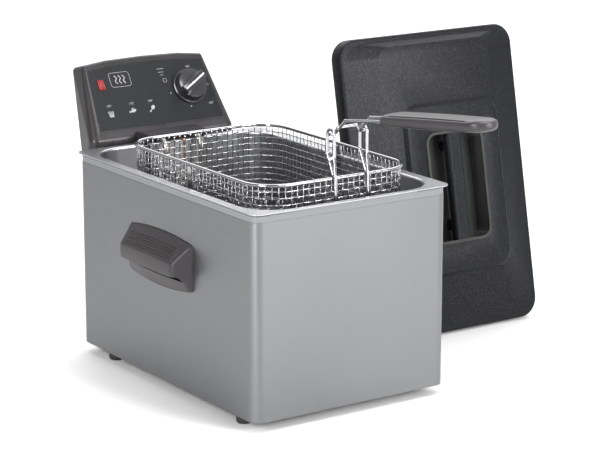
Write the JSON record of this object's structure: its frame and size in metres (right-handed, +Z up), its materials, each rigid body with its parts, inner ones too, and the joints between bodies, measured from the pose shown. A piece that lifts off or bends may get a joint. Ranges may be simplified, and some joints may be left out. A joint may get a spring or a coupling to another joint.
{
  "type": "deep fryer",
  "caption": "Domestic deep fryer with lift-out pot, plug-in control unit and element, wire basket with folding handle, and a lift-off lid.",
  "frame": {"origin": "middle of the casing's underside; the feet reach 11 mm below it", "axes": "+Z up, +Y from the basket handle's side to the control unit, +X to the right seen from the front"},
  "size_m": [0.516, 0.63, 0.3317],
  "materials": {
    "casing_steel": "satin stainless steel",
    "base_plastic": "matt black",
    "foot_rubber": "matt black rubber",
    "screw_steel": "zinc-plated steel",
    "handle_plastic": "fine-textured dark warm grey",
    "frame_plastic": "satin light grey",
    "bracket_steel": "plain stainless sheet",
    "pot_steel": "bright satin stainless steel",
    "panel_plastic": "fine-grained dark grey",
    "lens_red": "clear red",
    "lamp_glass": "neon lamp glass",
    "bulb_copper": "bare copper",
    "insulator": "ivory insulating plastic",
    "switch_plastic": "matt black",
    "wire_brown": "brown insulation",
    "element_steel": "heat-tinted steel tube",
    "knob_plastic": "glossy near-black",
    "pointer_white": "white",
    "button_red": "red",
    "basket_chrome": "bright chromed wire",
    "lid_paint": "dark grey hammered paint with fine sparkle",
    "liner_steel": "satin steel",
    "well_plastic": "smooth dark grey"
  },
  "bodies": {
    "casing": {"casing": "casing_steel", "base_plate": "base_plastic", "foot_front_left": "foot_rubber", "foot_back_left": "foot_rubber", "foot_front_right": "foot_rubber", "foot_back_right": "foot_rubber", "foot_screws": "screw_steel", "left_carry_handle": "handle_plastic", "right_carry_handle": "handle_plastic", "carry_handle_screws": "screw_steel", "top_frame": "frame_plastic", "unit_guide": "bracket_steel", "guide_rivets": "screw_steel"},
    "pot": {"pot": "pot_steel"},
    "control_unit": {"head_housing": "handle_plastic", "head_back_cover": "handle_plastic", "head_screws": "screw_steel", "control_panel": "panel_plastic", "pilot_lens": "lens_red", "pilot_lamp": "lamp_glass", "thermostat": "bracket_steel", "thermostat_bulb": "bulb_copper", "thermal_cutout": "insulator", "terminal_block": "insulator", "micro_switch": "switch_plastic", "inner_wires": "wire_brown", "cord_gland": "switch_plastic", "heating_element": "element_steel", "element_plate": "bracket_steel", "element_clip": "bracket_steel", "element_cover": "handle_plastic", "unit_tongue": "bracket_steel"},
    "thermostat_knob": {"thermostat_knob": "knob_plastic", "knob_pointer": "pointer_white"},
    "reset_button": {"reset_button": "button_red"},
    "basket": {"basket_rim": "basket_chrome", "basket_mesh": "basket_chrome", "basket_frame": "basket_chrome", "handle_bracket": "basket_chrome"},
    "basket_handle": {"handle_wires": "basket_chrome", "handle_grip": "handle_plastic"},
    "lid": {"lid_panel": "lid_paint", "lid_liner": "liner_steel", "lid_well": "well_plastic", "lid_grip": "well_plastic", "lid_screws": "screw_steel"}
  },
  "joints": [
    {"name": "pot_lift", "type": "slide", "parent": "casing", "child": "pot", "axis": [0, 0, 1], "range_m": [0, 0.2]},
    {"name": "control_unit_lift", "type": "slide", "parent": "pot", "child": "control_unit", "axis": [0, 0, 1], "range_m": [0, 0.2]},
    {"name": "thermostat_knob_turn", "type": "hinge", "parent": "control_unit", "child": "thermostat_knob", "pos_m": [0.0465, 0.21074, 0.2565], "axis": [0, -0.8453, 0.5344], "range_deg": [-76, 230]},
    {"name": "reset_button_press", "type": "slide", "parent": "control_unit", "child": "reset_button", "axis": [0, -1, 0], "range_m": [0, 0.002], "stiffness_N_per_m": 400, "springref_m": -0.001},
    {"name": "basket_lift", "type": "slide", "parent": "control_unit", "child": "basket", "axis": [0, 0, 1], "range_m": [-0.06, 0.12]},
    {"name": "basket_handle_fold", "type": "hinge", "parent": "basket", "child": "basket_handle", "pos_m": [0.008, -0.149, 0.271], "axis": [-1, 0, 0], "range_deg": [0, 185]},
    {"name": "lid_lift", "type": "slide", "parent": "casing", "child": "lid", "axis": [0, 0, 1], "range_m": [0, 0.35]}
  ]
}
